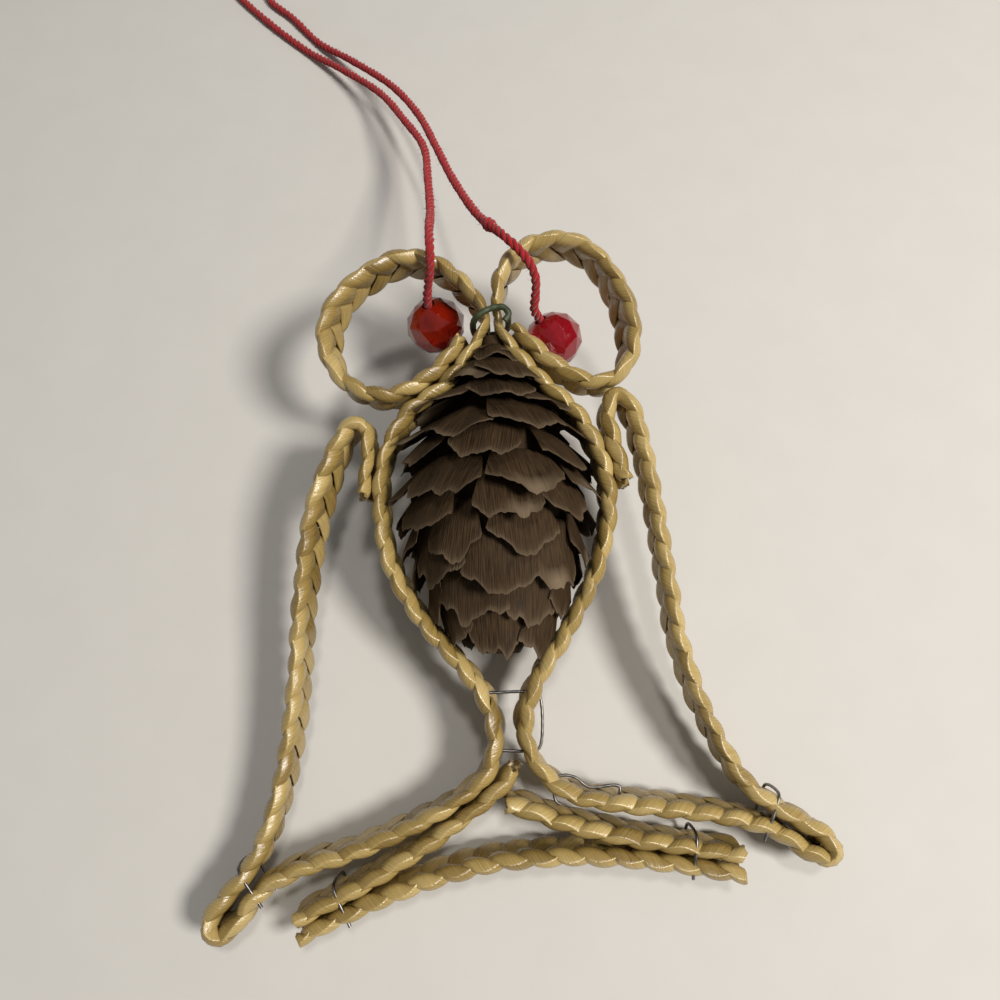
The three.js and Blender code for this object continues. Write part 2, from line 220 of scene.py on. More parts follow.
class Nodes:
    """A material's nodes, added and joined in few words."""

    def __init__(self, name, **values):
        self.material = bpy.data.materials.new(name)
        self.material.use_nodes = True
        self.tree = self.material.node_tree
        self.shader = self.tree.nodes["Principled BSDF"]
        for socket, value in values.items():
            self.shader.inputs[socket.replace("_", " ")].default_value = value

    def add(self, kind, links=(), values=(), **settings):
        node = self.tree.nodes.new(kind)
        for key, value in settings.items():
            setattr(node, key, value)
        for socket, value in dict(values).items():
            node.inputs[socket].default_value = value
        for socket, source in dict(links).items():
            self.link(source, node.inputs[socket])
        return node

    def link(self, source, socket):
        self.tree.links.new(source, socket)

    def set(self, socket, source):
        self.link(source, self.shader.inputs[socket])

    def uv(self, scale):
        """The strand's own coordinates, in mm along and across it, scaled."""
        place = self.add("ShaderNodeUVMap", uv_map="strand").outputs["UV"]
        return self.stretch(place, scale)

    def place(self, scale):
        """Object coordinates in metres, scaled."""
        place = self.add("ShaderNodeTexCoord").outputs["Object"]
        return self.stretch(place, scale)

    def stretch(self, source, scale):
        return self.add(
            "ShaderNodeVectorMath", {0: source}, {1: scale}, operation="MULTIPLY"
        ).outputs[0]

    def noise(self, vector, detail=3.0):
        return self.add(
            "ShaderNodeTexNoise",
            {"Vector": vector},
            {"Scale": 1.0, "Detail": detail, "Roughness": NOISE_ROUGHNESS},
        ).outputs["Fac"]

    def attribute(self, name):
        return self.add("ShaderNodeAttribute", attribute_name=name).outputs["Fac"]

    def ramp(self, source, stops):
        node = self.add("ShaderNodeValToRGB", {"Fac": source})
        ramp = node.color_ramp
        while len(ramp.elements) < len(stops):
            ramp.elements.new(0.5)
        for element, (at, colour) in zip(ramp.elements, stops):
            element.position = at
            element.color = (*colour, 1)
        return node.outputs["Color"]

    def range(self, source, low, high, to_low, to_high):
        return self.add(
            "ShaderNodeMapRange",
            {"Value": source},
            {"From Min": low, "From Max": high, "To Min": to_low, "To Max": to_high},
        ).outputs["Result"]

    def maths(self, operation, a, b):
        node = self.add("ShaderNodeMath", operation=operation)
        for socket, value in zip(node.inputs, (a, b)):
            if isinstance(value, (int, float)):
                socket.default_value = value
            else:
                self.link(value, socket)
        return node.outputs[0]

    def mix(self, fac, a, b, blend="MIX"):
        node = self.add("ShaderNodeMix", data_type="RGBA", blend_type=blend)
        for socket, value in ((node.inputs[0], fac), (node.inputs[6], a), (node.inputs[7], b)):
            if isinstance(value, (int, float)):
                socket.default_value = value
            elif isinstance(value, tuple):
                socket.default_value = (*value, 1)
            else:
                self.link(value, socket)
        return node.outputs[2]

    def bump(self, height, distance, strength=1.0):
        node = self.add(
            "ShaderNodeBump", {"Height": height}, {"Strength": strength, "Distance": distance}
        )
        self.set("Normal", node.outputs["Normal"])


def straw_material():
    """Satin straw: fine lines along each strand, pale to olive from strand to strand."""
    m = Nodes("straw", Specular_IOR_Level=1.0)
    tone = m.attribute("tone")
    lines = m.noise(m.uv((0.12, 7, 1)), detail=4)
    broad = m.noise(m.uv((0.25, 0.9, 1)), detail=2)
    shade = m.maths("ADD", m.maths("MULTIPLY", tone, 0.55), m.maths("MULTIPLY", lines, 0.35))
    shade = m.maths("ADD", shade, m.maths("MULTIPLY", broad, 0.2))
    colour = m.ramp(
        shade,
        [
            (0.15, (0.11, 0.065, 0.012)),
            (0.4, (0.27, 0.18, 0.05)),
            (0.6, (0.40, 0.285, 0.095)),
            (0.9, (0.58, 0.44, 0.19)),
        ],
    )
    m.set("Base Color", colour)
    m.set("Roughness", m.range(lines, 0.3, 0.7, 0.2, 0.33))
    m.bump(m.noise(m.uv((0.12, 4, 1)), detail=4), 0.0002, 0.7)
    return m.material


def cone_material():
    """Dark brown scales, finely lined towards a paler margin. tone is 1 on a tan broken edge."""
    m = Nodes("cone_scale", Specular_IOR_Level=0.12)
    tone = m.attribute("tone")
    lines = m.noise(m.uv((0.25, 3.3, 1)), detail=3)
    broad = m.noise(m.uv((0.5, 0.6, 1)), detail=3)
    brown = m.mix(m.range(lines, 0.35, 0.65, 0, 1), (0.014, 0.008, 0.004), (0.07, 0.042, 0.02))
    brown = m.mix(m.range(broad, 0.3, 0.7, 0, 0.6), brown, (0.045, 0.028, 0.014))
    m.set("Base Color", m.mix(tone, brown, (0.17, 0.125, 0.08)))
    m.set("Roughness", m.range(lines, 0.3, 0.7, 0.55, 0.8))
    m.bump(lines, 0.00025, 0.7)
    return m.material


def cord_material():
    """Matt red cotton with lighter fibres."""
    m = Nodes("red_cord", Roughness=0.85, Specular_IOR_Level=0.2, Sheen_Weight=0.3)
    fibres = m.noise(m.uv((0.6, 6, 1)), detail=3)
    m.set("Base Color", m.mix(fibres, (0.16, 0.004, 0.006), (0.48, 0.018, 0.022)))
    m.bump(fibres, 0.0001, 0.7)
    return m.material


def bead_material(name, dark, light):
    """Clear red glass, cloudy between a dark and a light red."""
    m = Nodes(
        name,
        Roughness=0.06,
        IOR=1.52,
        Transmission_Weight=0.55,
        Coat_Weight=0.4,
    )
    depth = m.noise(m.place((160, 160, 160)), detail=2)
    m.set("Base Color", m.mix(depth, dark, light))
    return m.material


def wire_material():
    """A worn dark green coat."""
    m = Nodes("green_wire", Roughness=0.5)
    wear = m.noise(m.place((900, 900, 900)), detail=3)
    m.set("Base Color", m.mix(wear, (0.012, 0.02, 0.008), (0.06, 0.075, 0.03)))
    return m.material


def steel_material():
    """Dull steel, lighter where it is rubbed."""
    m = Nodes("staple_steel", Metallic=1.0)
    wear = m.noise(m.place((700, 700, 700)), detail=3)
    m.set("Base Color", m.mix(wear, (0.1, 0.095, 0.09), (0.3, 0.285, 0.27)))
    m.set("Roughness", m.range(wear, 0.3, 0.7, 0.28, 0.5))
    return m.material


def table_material():
    """A plain pale table."""
    m = Nodes("table_cloth", Roughness=0.75, Specular_IOR_Level=0.25)
    grain = m.noise(m.place((90, 90, 90)), detail=4)
    m.set("Base Color", m.mix(grain, (0.555, 0.54, 0.515), (0.595, 0.58, 0.555)))
    return m.material


# ---- hanging cord ---------------------------------------------------------------------

CORD_PITCH = 4.2
CORD_ROUTE = [
    [-16.1, 46.1, 18.6], [-16.6, 46.9, 21.2], [-16, 48, 25.2], [-15.3, 48.9, 28.4],
    [-15.1, 51.3, 31], [-15.4, 54.8, 30.6], [-16.4, 64.7, 24.2], [-17.9, 76, 19.5],
    [-19.8, 88, 15.2], [-25.1, 99.6, 11], [-31.8, 111.5, 7.2], [-42.6, 123.6, 3.2],
    [-51.6, 131.8, 1], [-60.3, 139.7, 1], [-70.1, 150, 1], [-75.3, 157, 1], [-77.8, 164.5, 1],
    [-77, 171, 1], [-71.8, 174.5, 1], [-66.8, 171, 1], [-66, 164, 1], [-65.8, 157, 1],
    [-63.2, 149.7, 1], [-56.7, 143.2, 1], [-49.4, 134.7, 1], [-40.5, 126.3, 3.2],
    [-29.1, 113.2, 7.4], [-22.1, 100.9, 11.2], [-17.1, 87.2, 16], [-12.9, 75, 20.4],
    [-7.4, 61.5, 26.4], [-2.6, 53, 31.5], [-0.1, 50.6, 31], [1.7, 48.8, 29.7], [2.7, 47.4, 27.4],
    [2.7, 46, 24.5], [2.5, 45, 21.7], [3.4, 44.7, 19.2], [4.8, 43.6, 17],
]
PLIES = 3
PLY_RADIUS = 0.43
PLY_OFFSET = 0.42  # from the cord's middle to a ply's
PLY_SIDES = 8
PLY_SPIN = 2.4  # how fast a ply turns about its own line, radians per mm
CORD_STEP = 0.35
SLUB_AT = (-5, 57, 28.5)  # a thick place in the cord, in the CAD's frame
SLUB_REACH = 1.6
SLUB_SWELL = 0.5
FIBRES = 700
FIBRE_START = 0.6  # from the cord's middle
FIBRE_REACH = (0.3, 0.9)
FIBRE_BEND = 0.35
FIBRE_RADII = np.array([0.03, 0.028, 0.022, 0.008])


def add_cord(material):
    """Red cotton, three plies laid up in a loose twist, with stray fibres."""
    spine = Spine(CORD_ROUTE)
    marks = np.linspace(0, spine.length, round(spine.length / CORD_STEP) + 1)
    centres = spine.at(marks)
    slub = np.exp(-((np.linalg.norm(centres - SLUB_AT, axis=1) / SLUB_REACH) ** 2))
    swell = 1 + SLUB_SWELL * slub + 0.04 * np.sin(marks * 1.7) + 0.03 * np.sin(marks * 0.61)
    across, over = ring_frames(centres)
    build = Build()
    for ply in range(PLIES):
        lay = 2 * math.pi * (marks / CORD_PITCH + ply / PLIES)
        offset = np.cos(lay)[:, None] * across + np.sin(lay)[:, None] * over
        line = centres + offset * (PLY_OFFSET * swell)[:, None]
        rings = tube_rings(line, PLY_RADIUS * swell, PLY_SIDES, turn=marks * PLY_SPIN)
        u = np.broadcast_to(marks[:, None], rings.shape[:2])
        around = np.abs(np.linspace(-1, 1, PLY_SIDES))[None, :] + 3 * ply
        v = np.broadcast_to(around, rings.shape[:2])
        build.tube(rings, uv=np.stack([u, v], axis=-1))
    add_fuzz(build, spine)
    piece = build.finish("hang_cord_twisted", material, world=False, sharp=80)
    attach(piece, "hang_cord")


def add_fuzz(build, spine):
    """Short fibres that stand out of the cord."""
    rng = np.random.default_rng(7)
    steps = np.linspace(0, 1, len(FIBRE_RADII))[:, None]
    for _ in range(FIBRES):
        start = spine.at(rng.uniform(1, spine.length - 1))
        out = rng.normal(size=3)
        out /= np.linalg.norm(out)
        bend = rng.normal(size=3) * FIBRE_BEND
        reach = rng.uniform(*FIBRE_REACH)
        line = start + out * (FIBRE_START + reach * steps) + bend * steps**2 * reach
        build.tube(tube_rings(line, FIBRE_RADII, 3))


# ---- plait ----------------------------------------------------------------------------

WIDTH = 9.0
LOBE = 4.5  # from one strand's turn at a rim to the next
RIBBON = 4.05  # width of one strand
ANGLE = math.atan2(4, 3)  # between a strand and the plait's length

LEFT_PLAIT = [
    [-5.6, 28.3], [-7.4, 25.7], [-10.9, 21.7], [-18.3, 18.2], [-25.7, 20.8], [-29.1, 28.8],
    [-26.0, 36.8], [-18.2, 42.3], [-13.6, 42.8], [-8.3, 40.4], [-4.0, 36.0],
    [-1.7, 31.9], [-3.9, 26.3], [-8.5, 20.1], [-14.8, 14.9], [-18.5, 7.8], [-19.2, -1.0],
    [-17.3, -10.0], [-12.2, -19.2], [-4.9, -27.3], [-1.4, -32.2], [0.1, -38.0],
    [-1.2, -43.2], [-6.4, -47.8], [-22.1, -55.2], [-30.6, -57.8], [-36.9, -61.5],
    [-40.4, -66.4], [-42.6, -67.5], [-44.3, -66.5], [-43.4, -64.0],
    [-37.9, -57.0], [-34.7, -48.6], [-32.4, -33.5], [-31.7, -16.0], [-29.9, -1.0],
    [-26.3, 9.9], [-24.4, 12.9], [-22.5, 13.2], [-21.4, 10.6], [-21.5, 7.0], [-22.2, 0.8],
]
RIGHT_PLAIT = [
    [3.3, 30.1], [9.5, 24.1], [14.6, 21.0], [18.9, 20.8], [22.5, 24.4], [22.9, 31.2],
    [19.3, 40.5], [14.8, 45.1], [9.0, 45.9], [4.2, 43.9], [0.9, 39.4],
    [0.35, 32.1], [1.5, 28.4], [7.9, 20.6], [14.2, 14.3], [18.0, 6.3], [18.8, -1.2],
    [16.6, -11.2], [11.5, -21.4], [6.8, -28.9], [5.0, -33.0], [4.7, -37.5],
    [6.9, -42.5], [11.6, -46.2], [18.1, -47.6], [30.3, -48.8], [42.6, -51.2],
    [48.6, -54.7], [51.3, -55.6], [52.5, -54.5], [51.4, -52.5],
    [46.6, -49.6], [39.8, -45.0], [33.9, -34.8], [29.9, -23.0], [28.0, -10.6], [25.6, 5.1],
    [23.1, 15.5], [21.3, 18.0], [19.7, 17.6], [18.9, 15.0], [20.0, 9.5], [21.7, 3.4],
]
TAIL_LEFT = [
    [3.3, -42.5], [0.7, -45.6], [-3.1, -48.8], [-17.0, -58.0], [-23.7, -61.6], [-30.6, -65.1],
]
TAIL_RIGHT = [
    [1.9, -48.2], [4.6, -48.5], [10.2, -50.5], [22.1, -53.0], [38.2, -55.3],
]
TAIL_ARC = [
    [-30.2, -67.8], [-17.8, -62.0], [-2.0, -57.0], [12.0, -55.6], [23.0, -56.1], [38.2, -58.1],
]
# Where a plait leans, so that its near edge stands further out: [place, reach, degrees].
LEANS = [
    [(-29.1, 29.5), 8, 9],
    [(22.6, 32.5), 10, 12],
    [(-30.2, 0), 10, 8],
    [(4.7, -36), 7, -6],
]
# Where plaits are tied or pressed together and are thinner: [place, reach, share lost].
PINCHES = [
    [(-0.7, 31.8), 4.2, 0.45],
    [(3.1, 30.1), 2.5, 0.3],
    [(-4.5, 27.6), 3.5, 0.25],
    [(-20.1, 7.5), 4.5, 0.25],
    [(-5, -48.5), 4, 0.2],
    [(4.5, -41.5), 2, 0.2],
    [(-27, -65), 6, 0.1],
    [(34, -56.5), 6, 0.1],
]


def nearness(place, reach, points):
    """How strongly a place works on each point, 1 at its middle."""
    away = np.linalg.norm(points[..., :2] - place, axis=-1) / reach
    return np.exp(-(away**2))


class Plait:
    """Flat three-strand plait on edge along a spine.

    Each strand is a ribbon that crosses from rim to rim and folds over at each. It leaves a
    rim on the front face and comes to the next on the back. front is the side of travel that
    the front face is on: -1 right, 1 left. outward is 1 where the outside is on the left.

    X runs along a strand, measured across the plait, so that it folds at each multiple of
    WIDTH. v runs across the strand from -1 to 1, 1 being upstream.
    """

    STRANDS = 3
    FOLD_REACH = 1.5  # how far from a rim a strand has sunk to its face
    FOLD_POWER = 1.3  # over 1 makes the two sides of a fold bulge
    CREASE = 0.06  # radius of a fold
    CREST = 0.65  # how far a fold's middle bows to the front face
    CREST_SLOPE = 0.4  # how far its downstream end falls back
    CREST_BACK = 0.15
    BULGE_AT = 0.35  # where along a fold it stands out furthest
    DIP = 0.7  # how far a fold's ends fall short of the rim
    DEPTH = 0.55  # from the plait's middle to a strand's edges
    CAMBER = 0.5  # how far the middle of a strand stands out of its edges
    TILT = 0.25  # how much higher a strand's upstream edge lies
    TURN_OVER = 1.3  # half the length over which a strand changes faces
    EDGE_HALF = 0.09  # half thickness at a strand's edges
    BODY_HALF = 0.27  # what is added to it in the middle
    FRAY = 0.4
    SMALL = 0.02  # step for the slopes of the surface
    ROWS = (0, 0.06, 0.14, 0.28, 0.55, 0.95, 1.45, 2.1, 2.8, 3.4, 3.95, 4.5)
    COLUMNS = np.array((-1, -0.86, -0.6, -0.3, 0, 0.3, 0.6, 0.86, 1))

    def __init__(self, bends, front, outward, seed):
        self.spine = Spine(bends)
        self.front = front
        self.outward = outward
        self.rng = np.random.default_rng(seed)
        self.lobes = round(self.spine.length / LOBE)
        self.stretch = self.spine.length / (self.lobes * LOBE)

    def lay(self, s, x, h):
        """Strip coordinates, along, across and through, laid along the spine."""
        place = self.spine.at(s)
        along = self.spine.along(s)
        right = np.stack([along[..., 1], -along[..., 0], np.zeros_like(s)], axis=-1)
        lean = sum(deg * nearness(at, reach, place) for at, reach, deg in LEANS)
        thin = 1
        for at, reach, share in PINCHES:
            thin = thin * (1 - share * nearness(at, reach, place))
        turn = np.radians(-self.outward * lean)[..., None]
        up = np.array((0, 0, 1.0))
        across = up * np.cos(turn) + right * np.sin(turn)
        through = -right * np.cos(turn) + up * np.sin(turn)
        return place + across * x[..., None] + through * (self.front * h * thin)[..., None]

    def irregularities(self, count):
        """What differs a little from one crossing, or one fold, to the next."""
        rng = self.rng
        own = {
            "wide": RIBBON * (1 + rng.uniform(-0.07, 0.05, count)),
            "sink": rng.uniform(-0.22, 0.2, count),
            "deep": self.DEPTH * (1 + rng.uniform(-0.16, 0.16, count)),
            "tilt": self.TILT * (1 + rng.uniform(-0.5, 0.5, count)),
            "centre": rng.uniform(-0.25, 0.25, count),
            "dip": self.DIP * (1 + rng.uniform(-0.5, 0.3, count)),
            "tone": rng.uniform(0.15, 0.85, count),
        }
        own["tone"] = np.clip(own["tone"] + rng.uniform(-0.1, 0.1), 0, 1)
        return own

    def middle(self, X, v, first, shift, own):
        """A strand's middle surface in strip coordinates. first is its first crossing."""
        turns = X / WIDTH
        k = np.floor(turns).astype(int) - first
        f = turns - np.floor(turns)
        fold = np.round(turns).astype(int)
        at = fold - first
        g = np.minimum(f, 1 - f) * WIDTH
        y = v * (own["wide"][k] * (1 - f) + own["wide"][k + 1] * f) / 2
        near = np.clip(g / self.FOLD_REACH, 0, 1)
        roof = 1 - (1 - near) ** self.FOLD_POWER
        q = 2 * math.cos(ANGLE) * ((f - 0.5) * WIDTH - own["centre"][k]) - y
        side = -roof * np.sin(math.pi / 2 * np.clip(q / self.TURN_OVER, -1, 1))
        sigma = 0.5 - v / 2
        crest = (self.CREST + own["sink"][at]) * np.sin(math.pi * sigma)
        crest = crest - self.CREST_SLOPE * sigma - self.CREST_BACK
        swell = self.CAMBER * (1 - v**2) * (1 - 0.7 * np.clip((g - 2) / 2.5, 0, 1))
        h = side * (own["deep"][k] + own["tilt"][k] * v + swell) + (1 - roof) * crest
        past = (sigma - self.BULGE_AT) / (1 - self.BULGE_AT)
        before = (self.BULGE_AT - sigma) / self.BULGE_AT
        edge = np.where(sigma > self.BULGE_AT, past, before)
        inward = np.sqrt(g**2 + self.CREASE**2) - self.CREASE * (1 - 2 * g / WIDTH)
        inward = inward + own["dip"][at] * edge**2 * (1 - near) ** 1.2
        x = np.where(fold % 2 == 1, 1, -1) * (WIDTH / 2 - inward)
        s = X / math.tan(ANGLE) - y / math.sin(ANGLE) + shift
        return np.stack([s, x, h], axis=-1)

    def half_thickness(self, X, v):
        """Thickest in the middle of a strand and thin at its edges and folds."""
        turns = X / WIDTH
        g = np.abs(turns - np.round(turns)) * WIDTH
        half = self.EDGE_HALF + self.BODY_HALF * (1 - v**2) ** 0.8
        return half * (0.3 + 0.7 * np.clip(g / 0.8, 0, 1))

    def strand_grid(self, first, last, shift):
        """X and v of a strand's points, held back to its two ragged cut ends."""
        rng = self.rng
        steps = np.array([*self.ROWS, *[WIDTH - r for r in self.ROWS[-2:0:-1]]])
        X = (np.arange(first, last)[:, None] * WIDTH + steps[None, :]).ravel()
        X, v = np.meshgrid(X, self.COLUMNS, indexing="ij")
        lean = v * RIBBON / 2 / math.sin(ANGLE)
        ragged = rng.uniform(-1, 1, (2, len(self.COLUMNS))) * self.FRAY
        begin = rng.uniform(-1, 1) * self.FRAY + ragged[0]
        end = self.lobes * LOBE + rng.uniform(-1, 1) * self.FRAY + ragged[1]
        cot = 1 / math.tan(ANGLE)
        return np.clip(X, (begin + lean - shift) / cot, (end + lean - shift) / cot), v

    def strand(self, build, which):
        """One of the three ribbons, as a closed band with its own small irregularities."""
        run = WIDTH / math.tan(ANGLE)  # how far one crossing goes along the plait
        shift = which * LOBE - 0.5 * LOBE
        spare = RIBBON / 2 / math.sin(ANGLE) + 4
        first = math.floor((-spare - shift) / run)
        last = math.ceil((self.lobes * LOBE + spare - shift) / run)
        own = self.irregularities(last - first + 2)
        X, v = self.strand_grid(first, last, shift)
        middle = self.middle(X, v, first, shift, own)
        d_along = self.middle(X + self.SMALL, v, first, shift, own)
        d_along = d_along - self.middle(X - self.SMALL, v, first, shift, own)
        d_across = self.middle(X, v + self.SMALL, first, shift, own)
        d_across = d_across - self.middle(X, v - self.SMALL, first, shift, own)
        normal = np.cross(d_along, d_across)
        normal /= np.linalg.norm(normal, axis=-1, keepdims=True)
        lift = normal * self.half_thickness(X, v)[..., None]
        ring = np.concatenate([middle + lift, (middle - lift)[:, ::-1]], axis=1)
        ring[..., 0] *= self.stretch
        placed = self.lay(ring[..., 0], ring[..., 1], ring[..., 2])
        along = np.concatenate([X, X[:, ::-1]], axis=1) / math.sin(ANGLE)
        wander = self.rng.uniform(0, 50)
        y = np.concatenate([v, v[:, ::-1]], axis=1) * RIBBON / 2 + wander
        k = np.clip(np.floor(X / WIDTH).astype(int) - first, 0, last - first + 1)
        tones = own["tone"][np.concatenate([k, k], axis=1)]
        faces = self.band_faces(*ring.shape[:2])
        build.add(placed, faces, uv=np.stack([along, y], axis=-1), tone=tones)

    def band_faces(self, rows, sides):
        """The faces round a ribbon and across its two cut ends."""
        flip = self.front > 0
        faces = grid_faces(rows, sides, closed=True, flip=not flip)
        for row, turned in ((0, flip), (rows - 1, not flip)):
            for j in range(len(self.COLUMNS) - 1):
                upper = row * sides + j
                lower = row * sides + sides - 1 - j
                face = (upper, upper + 1, lower - 1, lower)
                faces.append(face[::-1] if turned else face)
        return faces

    def make(self, node, material):
        build = Build()
        for which in range(self.STRANDS):
            self.strand(build, which)
        piece = build.finish(node + "_straw", material, merge=0.002, sharp=42)
        attach(piece, node)


def add_plaits(material):
    Plait(LEFT_PLAIT, front=-1, outward=1, seed=11).make("plait_left", material)
    Plait(RIGHT_PLAIT, front=1, outward=-1, seed=12).make("plait_right", material)
    Plait(TAIL_LEFT, front=-1, outward=1, seed=13).make("tail_left", material)
    Plait(TAIL_RIGHT, front=1, outward=1, seed=14).make("tail_right", material)
    Plait(TAIL_ARC, front=-1, outward=1, seed=15).make("tail_arc", material)


# ---- pine cone ------------------------------------------------------------------------

CONE_APEX = np.array((0.8, -25.3, 0))
CONE_BASE = np.array((-0.2, 27.4, 0))
CONE_LENGTH = CONE_BASE[1] - CONE_APEX[1]
CONE_RADIUS = 17.3
CONE_TAPER = (0.58, 0.76)  # share of the radius lost at the apex and at the stalk
CONE_ROWS = 11
CONE_SCALES = 7
SCALE_HALF = (6.6, 9.2)  # half the width of a scale
SCALE_ROUNDING = (0.16, 0.34)  # how far back a margin's corners lie, as a share of the scale
SCALE_GRID = (27, 13)  # points across and along a scale
SCALE_THICK = (0.42, 0.16)  # at the root and at the margin
BROKEN_SHARE = 0.2  # of the scales, with a thick tan broken edge
BROKEN_THICK = 0.5
CORE_RINGS = 24
STRAW_ROOM = 1.75  # kept between the middle of a plait and the cone
NECK_TO_FOOT = slice(11, 23)  # the part of each plait that bounds the cone


def cone_radius(t):
    """The cone's outer radius from its blunt apex (0) to its stalk (1)."""
    x = 2 * t - 1
    return CONE_RADIUS * (1 - np.where(x < 0, *CONE_TAPER) * x**2)


def cone_point(radius, height, angle):
    """A place about the cone's axis. height is from the apex and angle from the front."""
    t = (height / CONE_LENGTH)[..., None]
    axis = CONE_APEX * (1 - t) + CONE_BASE * t
    out = np.stack([np.sin(angle), np.zeros_like(angle), np.cos(angle)], axis=-1)
    place = axis + out * radius[..., None]
    place[..., 1] = CONE_APEX[1] + height
    return place


def keep_off_straw(points):
    """Presses what reaches into the body's two plaits back to their inner faces."""
    for bends, side in ((LEFT_PLAIT[NECK_TO_FOOT], 1), (RIGHT_PLAIT[NECK_TO_FOOT], -1)):
        line = smooth_route(bends)
        order = np.argsort(line[:, 1])
        limit = np.interp(points[..., 1], line[order, 1], line[order, 0]) + side * STRAW_ROOM
        over = np.maximum(side * (limit - points[..., 0]), 0)
        points[..., 0] += side * over
    return points


def scale_margin(rng, u, waves):
    """How far a scale reaches at each place across it, 1 being its full length."""
    torn = 0.035 * np.sin(5 * u + waves[0]) + 0.018 * np.sin(14 * u + waves[1])
    torn = torn + 0.012 * np.sin(31 * u + waves[2])
    notch = rng.uniform(0, 0.12) * np.exp(-(((u - rng.uniform(-0.6, 0.6)) / 0.16) ** 2))
    rounding = rng.uniform(*SCALE_ROUNDING) * np.abs(u) ** rng.uniform(1.6, 2.6)
    return 1 - rounding + torn - notch


def there_and_back(values):
    """Values across a scale's upper face and back across its lower one."""
    return np.concatenate([values, values[:, ::-1]], axis=1)


def add_scale(build, rng, row, column):
    """One scale: a thin fan, striped to a pale wavy margin, sometimes with a broken edge."""
    height = CONE_LENGTH * (row + 0.25) / CONE_ROWS + rng.uniform(-0.9, 0.9)
    up = height / CONE_LENGTH
    reach = float(cone_radius(np.array(up))) * rng.uniform(0.97, 1.09)
    rise = (11.5 - 6.0 * up) * rng.uniform(0.85, 1.1)
    root = min(height + rise, CONE_LENGTH)
    inner = max(float(cone_radius(np.array(root / CONE_LENGTH))) - 3.4 - 5.5 * up, 1.5)
    middle = 2 * math.pi * (column + 0.5 * (row % 2)) / CONE_SCALES + rng.uniform(-0.14, 0.14)
    half = min(rng.uniform(*SCALE_HALF), 0.72 * reach)
    across, along = (np.linspace(low, 1, n) for low, n in zip((-1, 0), SCALE_GRID))
    u, t = np.meshgrid(across, along, indexing="ij")
    waves = rng.uniform(0, 6.3, 5)
    t_out = t * scale_margin(rng, u, waves)
    spread = half * (0.45 + 0.55 * np.clip(t_out / 0.75, 0, 1) ** 0.8)
    radius = inner + (reach - inner) * t_out + rng.uniform(-0.5, 0.9) * t_out**4
    radius = radius + 0.45 * np.sin(4.2 * u + waves[3]) * t_out**3
    level = root + (height - root) * t_out ** rng.uniform(1.0, 1.5)
    level = level + 0.5 * np.sin(5.5 * u + waves[4]) * t_out**2
    angle = middle + u * spread / np.maximum(radius, 3) * 0.8
    patch = np.zeros_like(u)
    if rng.uniform() < BROKEN_SHARE:
        patch = np.exp(-(((u - rng.uniform(-0.5, 0.5)) / 0.4) ** 2))
    thick = SCALE_THICK[0] - (SCALE_THICK[0] - SCALE_THICK[1]) * t
    thick = thick + BROKEN_THICK * patch * np.clip((t - 0.8) / 0.2, 0, 1)
    tilt = math.atan2(root - height, reach - inner)
    upper, lower = (
        cone_point(radius + lift * math.sin(tilt), level - lift * math.cos(tilt), angle)
        for lift in (thick / 2, -thick / 2)
    )
    ring = np.concatenate([upper, lower[:, ::-1]], axis=1)
    edge = np.clip((t - 0.9) / 0.1, 0, 1)
    tone = np.maximum(0.5 * edge, patch * np.clip((t - 0.78) / 0.1, 0, 1))
    wander = rng.uniform(0, 40)
    uv = np.stack([there_and_back(t * rise), there_and_back(u * spread) + wander], axis=-1)
    build.tube(keep_off_straw(ring), uv=uv, tone=there_and_back(tone))


def add_core(build):
    """The dark middle of the cone, behind the gaps between its scales."""
    heights = np.linspace(0.6, CONE_LENGTH + 1.5, CORE_RINGS)[:, None]
    around = np.linspace(0, 2 * math.pi, CORE_RINGS, endpoint=False)[None, :]
    heights, around = np.broadcast_arrays(heights, around)
    t = np.clip(heights / CONE_LENGTH, 0, 1)
    radius = np.maximum(cone_radius(t) - 4.4 - 2.6 * t, 2.2)
    build.tube(cone_point(radius, heights, around), tone=0)


def add_cone(material):
    rng = np.random.default_rng(29)
    build = Build()
    add_core(build)
    for row in range(CONE_ROWS):
        for column in range(CONE_SCALES):
            add_scale(build, rng, row, column)
    piece = build.finish("pine_cone_scales", material, sharp=60)
    attach(piece, "pine_cone")


# ---- beads, wire and staples ------------------------------------------------------------

BEAD_RADIUS = 5.5
BEAD_BORE = 1.2
BEAD_BARREL = 0.9  # length as a share of width
BEAD_SIDES = 10
# Where each bead hangs, and where its bore faces.
BEADS = {
    "bead_left": [(-11.2, 34.2, -7), (-1.1, 2.4, 4.5)],
    "bead_right": [(10.4, 31.2, -7), (-2.6, 2.8, 3.4)],
}


def bead_faces(rows):
    """Two triangles between each four neighbours of staggered rings, and the bore's quads."""
    faces = []
    for row in range(rows - 1):
        low, high = row * BEAD_SIDES, (row + 1) * BEAD_SIDES
        for side in range(BEAD_SIDES):
            step = (side + 1) % BEAD_SIDES
            if row % 2 == 0:
                faces.append((low + side, low + step, high + side))
                faces.append((low + step, high + step, high + side))
            else:
                faces.append((low + side, low + step, high + step))
                faces.append((low + side, high + step, high + side))
    last = (rows - 1) * BEAD_SIDES
    for side in range(BEAD_SIDES):
        step = (side + 1) % BEAD_SIDES
        faces.append((last + side, last + step, step, side))
    return faces


